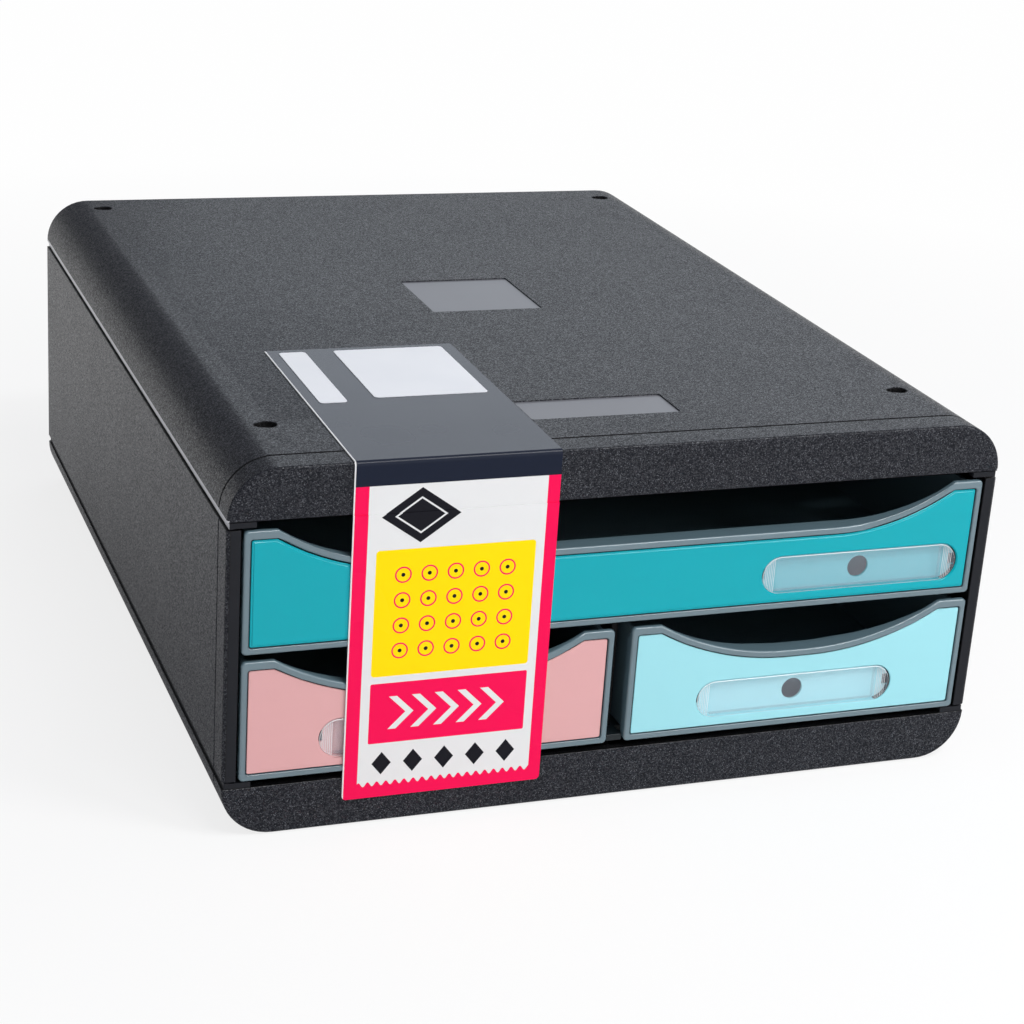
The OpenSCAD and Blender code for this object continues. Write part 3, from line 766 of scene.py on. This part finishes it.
def printedCard():  # generic print in millimetres: u from the strip's left edge, v above the ground
    material, tree, shader, place = newMaterial("printedCard", {
        "Specular IOR Level": cardSurface["gloss"], "Coat Roughness": cardSurface["coat roughness"]})
    axes = addNode(tree, "ShaderNodeSeparateXYZ", inputs={"Vector": place})
    u = (Field(tree, axes.outputs["X"]) - stripLow.x) * perMetre
    v = Field(tree, axes.outputs["Z"]) * perMetre
    look = stripPrint

    def boxAt(name):
        right, up, halfU, halfV, radius = stripBoxes[name]
        return boxDistance(u, v, stripMiddle + right, up, halfU, halfV, radius)

    def paint(under, distance, ink):
        return blendColour(tree, distance.inside(look["blur"]), under, stripInk[ink])

    wave = (u * (2 * math.pi / look["wave length"])).calc("SINE") * look["wave height"]
    colour = blendColour(tree, boxAt("field").inside(look["blur"]), stripInk["red"], stripInk["white"])
    colour = paint(colour, v + wave - look["wave up"], "red")
    colour = paint(colour, boxAt("panel"), "yellow")
    right, up = stripBoxes["panel"][:2]
    step = look["spot step"]
    across, along = (u - stripMiddle - right).repeat(step), (v - up + step / 2).repeat(step)
    spots = discDistance(across, along, 0.0, 0.0, look["spot"])
    inPanel = boxAt("spots")
    colour = paint(colour, (abs(spots) - look["spot line"]).most(inPanel), "red")
    colour = paint(colour, (spots + look["spot heart"]).most(inPanel), "black")
    colour = paint(colour, boxAt("bar"), "red")
    up = stripBoxes["bar"][1]
    slant = u + abs(v - up) - stripMiddle - look["arrow start"]
    arrows = (abs(slant.repeat(look["arrow step"])) - look["arrow"]).most(abs(v - up) - look["arrow height"])
    colour = paint(colour, arrows.most(abs(slant) - look["arrow reach"]), "white")
    colour = paint(colour, diamondDistance(u, v, *look["crest"], *look["crest size"]), "black")
    crestLine = abs(diamondDistance(u, v, *look["crest"], *look["crest line"])) - look["line"]
    colour = paint(colour, crestLine, "white")
    across = (u - stripMiddle).repeat(look["row step"])
    row = diamondDistance(across, v, 0.0, look["row up"], *look["row size"])
    colour = paint(colour, row.most(abs(u - stripMiddle) - look["row reach"]), "black")
    colour = paint(colour, (v - look["band up"]).minus(), "grey")
    colour = paint(colour, u - look["bare edge"], "white")
    fibre = useGroup(tree, cardFibre, place)
    tone = Field(tree, fibre.outputs["Tone"]).swing(cardSurface["uneven"])
    tree.links.new(colour, shader.inputs["Base Color"])
    tree.links.new((tone + cardSurface["roughness"]).socket, shader.inputs["Roughness"])
    varnish = (v - look["varnish up"]).minus().inside(look["varnish blur"]) * cardSurface["coat"]
    tree.links.new(varnish.socket, shader.inputs["Coat Weight"])
    addBump(tree, shader, fibre.outputs["Height"], cardSurface["bump"], cardSurface["depth"])
    return material


def plainPaper(name, look):
    material, tree, shader, place = newMaterial(name, look["shader"])
    fibre = useGroup(tree, cardFibre, place)
    colour = blendColour(tree, fibre.outputs["Tone"], look["shade"], look["colour"])
    tree.links.new(colour, shader.inputs["Base Color"])
    if look["bump"] > 0:
        addBump(tree, shader, fibre.outputs["Height"], look["bump"], look["depth"])
    return material


cardInk = printedCard()
cardEdge = plainPaper("cutEdge", {
    "shader": {"Roughness": 0.7}, "shade": (0.74, 0.74, 0.74), "colour": (0.86, 0.86, 0.85), "bump": 0})
stickerWhite = plainPaper("stickerPaper", {
    "shader": {"Roughness": 0.5, "Specular IOR Level": 0.4}, "shade": (0.74, 0.76, 0.80),
    "colour": (0.84, 0.85, 0.88), "bump": 0.12, "depth": 0.2 * mm})
foldLook = {
    "radius": 1.5 * mm, "steps": 8, "thickness": 0.32 * mm, "slit": 0.01 * mm, "rear end area": 1e-4,
    "lower corners": (1.5 * mm, 5), "sticker corners": (1.4 * mm, 5)}


def newVerts(geom):
    return [g for g in geom if isinstance(g, bmesh.types.BMVert)]


def newEdges(geom):
    return [g for g in geom if isinstance(g, bmesh.types.BMEdge)]


def buildStripTop():  # a sheet drawn along the top, turned over the edge and let down
    radius = foldLook["radius"]
    bm = bmesh.new()
    rear = bm.edges.new([bm.verts.new((x, stripHigh.y, stripHigh.z)) for x in (stripLow.x, stripHigh.x)])
    ahead = bmesh.ops.extrude_edge_only(bm, edges=[rear])["geom"]
    bmesh.ops.translate(bm, verts=newVerts(ahead), vec=(0, stripLow.y + radius - stripHigh.y, 0))
    turned = bmesh.ops.spin(
        bm, geom=newVerts(ahead) + newEdges(ahead), cent=(0, stripLow.y + radius, stripHigh.z - radius),
        axis=(1, 0, 0), angle=math.pi / 2, steps=foldLook["steps"], use_merge=False)["geom_last"]
    down = bmesh.ops.extrude_edge_only(bm, edges=newEdges(turned))["geom"]
    bmesh.ops.translate(bm, verts=newVerts(down), vec=(0, 0, stripLow.z - (stripHigh.z - radius)))
    bmesh.ops.remove_doubles(bm, verts=bm.verts, dist=merging)
    bmesh.ops.recalc_face_normals(bm, faces=bm.faces)
    if sum(face.normal.z for face in bm.faces) < 0:
        bmesh.ops.reverse_faces(bm, faces=bm.faces)
    bmesh.ops.solidify(bm, geom=bm.faces[:], thickness=foldLook["thickness"])
    bm.normal_update()
    for face in bm.faces:
        rearEnd = face.normal.y > facing and face.calc_area() < foldLook["rear end area"]
        face.material_index = 1 if abs(face.normal.x) > mostly or rearEnd else 0
    return finishPiece(bm, "strip_top", [cardInk, cardEdge])


def dressStrip(node, above, lowest=False):
    low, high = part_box(node)
    bm = cadCopy(node)

    def atCorner(edge):
        return all(near(v.co.z, low.z) for v in edge.verts) and near(edge.verts[0].co.x, edge.verts[1].co.x)

    if lowest:
        roundEdges(bm, sharpEdges(bm, atCorner), *foldLook["lower corners"])
    for face in bm.faces:
        face.material_index = 0 if abs(face.normal.y) > mostly or face.normal.z > mostly else 1
    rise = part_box(above)[0].z - high.z - foldLook["slit"]  # the printed sheet reads as one piece when shut
    bmesh.ops.translate(bm, verts=[v for v in bm.verts if near(v.co.z, high.z)], vec=(0, 0, rise))
    return finishPiece(bm, node, [cardInk, cardEdge])


def dressSticker(node):
    bm = cadCopy(node)
    upright = sharpEdges(bm, lambda e: not near(e.verts[0].co.z, e.verts[1].co.z))
    roundEdges(bm, upright, *foldLook["sticker corners"])
    return finishPiece(bm, node, [stickerWhite])


buildStripTop()
dressStrip("strip_upper", "strip_top")
dressStrip("strip_lower", "strip_upper", lowest=True)
dressSticker("small_sticker")
dressSticker("large_sticker")
print("card strip done")


white = (1.0, 1.0, 1.0)
studio = {
    "floor": 24.0, "floor squares": 8, "floor colour": 0.88, "near lift": 0.80, "far lift": 0.985,
    "near": 0.30, "far": 0.8, "shade at": (-0.25, -0.10, 0.0), "shade": 0.60,
    "front": (0.58, 0.59, 0.62), "overhead": (0.34, 0.35, 0.38), "rear left": (0.06, 0.065, 0.08),
    "rear left way": (-0.75, 0.66), "rear left width": 1.4, "rear left share": 0.35,
    "horizon": white, "horizon up": 0.04, "horizon blur": 0.12}


def buildFloor():  # pale floor, nearer to white where it is seen, with the box's soft shadow kept
    bm = bmesh.new()
    squares = studio["floor squares"]
    bmesh.ops.create_grid(bm, x_segments=squares, y_segments=squares, size=studio["floor"] / 2)
    mesh = bpy.data.meshes.new("floor")
    bm.to_mesh(mesh)
    bm.free()
    floor = bpy.data.objects.new("floor", mesh)
    bpy.context.scene.collection.objects.link(floor)
    material = bpy.data.materials.new("paleFloor")
    material.use_nodes = True
    tree = material.node_tree
    tree.nodes.clear()
    diffuse = addNode(tree, "ShaderNodeBsdfDiffuse", inputs={"Color": (*[studio["floor colour"]] * 3, 1.0)})
    plain = addNode(tree, "ShaderNodeEmission", inputs={"Color": (*white, 1.0), "Strength": 1.0})
    ray = addNode(tree, "ShaderNodeLightPath")
    seen = Field(tree, ray.outputs["Is Camera Ray"]).most(Field(tree, ray.outputs["Is Transmission Ray"]))
    mirrored = Field(tree, ray.outputs["Is Glossy Ray"])
    place = addNode(tree, "ShaderNodeTexCoord").outputs["Object"]

    def apart(spot):
        between = addNode(tree, "ShaderNodeVectorMath", {"operation": "DISTANCE"}, {0: place, 1: spot})
        return Field(tree, between.outputs["Value"])

    away = ((apart((0.0, 0.0, 0.0)) - studio["near"]) / (studio["far"] - studio["near"])).clamped()
    lift = away * (studio["far lift"] - studio["near lift"]) + studio["near lift"]
    shade = (apart(studio["shade at"]) / studio["shade"]).least(1.0) * studio["far lift"]
    share = (seen * lift).most(mirrored * shade)  # in reflections the floor is darker round a fixed spot left of the box: painted shade, with the real shadow showing through it
    mix = addNode(tree, "ShaderNodeMixShader", inputs={0: share.socket})
    tree.links.new(diffuse.outputs[0], mix.inputs[1])
    tree.links.new(plain.outputs[0], mix.inputs[2])
    out = addNode(tree, "ShaderNodeOutputMaterial")
    tree.links.new(mix.outputs[0], out.inputs["Surface"])
    mesh.materials.append(material)


def buildWorld():  # bright in front, dim overhead and behind on the left, white along the horizon
    world = bpy.data.worlds.new("studioAir")
    bpy.context.scene.world = world
    world.use_nodes = True
    tree = world.node_tree
    place = addNode(tree, "ShaderNodeTexCoord").outputs["Generated"]
    axes = addNode(tree, "ShaderNodeSeparateXYZ", inputs={"Vector": place})
    x, y, z = (Field(tree, axes.outputs[axis]) for axis in "XYZ")
    wayX, wayY = studio["rear left way"]
    rearLeft = ((x * wayX + y * wayY) * studio["rear left width"] + studio["rear left share"]).clamped()
    height = z.clamped()
    glow = ((height - studio["horizon up"]) / studio["horizon blur"]).clamped()
    around = blendColour(tree, rearLeft, studio["front"], studio["rear left"])
    above = blendColour(tree, height, around, studio["overhead"])
    colour = blendColour(tree, glow, studio["horizon"], above)
    tree.links.new(colour, tree.nodes["Background"].inputs["Color"])
    tree.nodes["Background"].inputs["Strength"].default_value = 1.0


softboxes = {
    "highKey": {
        "at": (0.62, -0.78, 1.38), "aim": (0.0, -0.10, 0.09), "size": (0.38, 0.72), "watts": 8.2,
        "colour": white},
    "middleKey": {
        "at": (0.12, -1.02, 1.42), "aim": (0.0, -0.10, 0.09), "size": (0.46, 0.15), "watts": 7.2,
        "colour": white},
    "rearSheen": {
        "at": (0.98, 1.85, 0.98), "aim": (0.05, 0.0, 0.13), "size": (1.6, 0.8), "watts": 5.7,
        "colour": (0.86, 0.93, 1.0)},
    "rightFill": {
        "at": (0.60, -0.65, 0.42), "aim": (0.10, -0.17, 0.06), "size": (0.35, 0.35), "watts": 2.0,
        "colour": white},
    "frontFill": {
        "at": (-0.35, -1.6, 0.9), "aim": (0.0, -0.17, 0.06), "size": (1.0, 0.7), "watts": 1.8,
        "colour": white}}


def buildSoftbox(name, box):
    light = bpy.data.lights.new(name, "AREA")
    light.shape = "RECTANGLE"
    light.size, light.size_y = box["size"]
    light.energy = box["watts"]
    light.color = box["colour"]
    lamp = bpy.data.objects.new(name, light)
    bpy.context.scene.collection.objects.link(lamp)
    lamp.location = box["at"]
    lamp.rotation_euler = (Vector(box["aim"]) - Vector(box["at"])).to_track_quat("-Z", "Y").to_euler()
    lamp.visible_camera = False


lens = {
    "focal": 81.35, "sensor": 36.0, "at": (-0.298887, -0.832357, 0.381107), "azimuth": -21.147,
    "elevation": 20.979, "roll": 3.896, "shift": -0.0015, "nearest": 0.01, "farthest": 50.0}


def buildCamera():
    data = bpy.data.cameras.new("mainCamera")
    data.lens = lens["focal"]
    data.sensor_width = lens["sensor"]
    data.shift_y = lens["shift"]
    data.clip_start, data.clip_end = lens["nearest"], lens["farthest"]
    camera = bpy.data.objects.new("mainCamera", data)
    bpy.context.scene.collection.objects.link(camera)
    turn, lift, roll = (math.radians(lens[key]) for key in ("azimuth", "elevation", "roll"))
    back = Vector((math.sin(turn) * math.cos(lift), -math.cos(turn) * math.cos(lift), math.sin(lift)))
    right = (-back).cross(Vector((0, 0, 1))).normalized()
    up = right.cross(-back)
    across = math.cos(roll) * right + math.sin(roll) * up
    upright = -math.sin(roll) * right + math.cos(roll) * up
    turned = Matrix((across, upright, back)).transposed().to_4x4()
    camera.matrix_world = Matrix.Translation(lens["at"]) @ turned
    bpy.context.scene.camera = camera


buildFloor()
buildWorld()
for name, box in softboxes.items():
    buildSoftbox(name, box)
buildCamera()
bpy.context.scene.view_settings.view_transform = "Standard"
print("stage, lights and camera done")

bpy.context.view_layer.update()
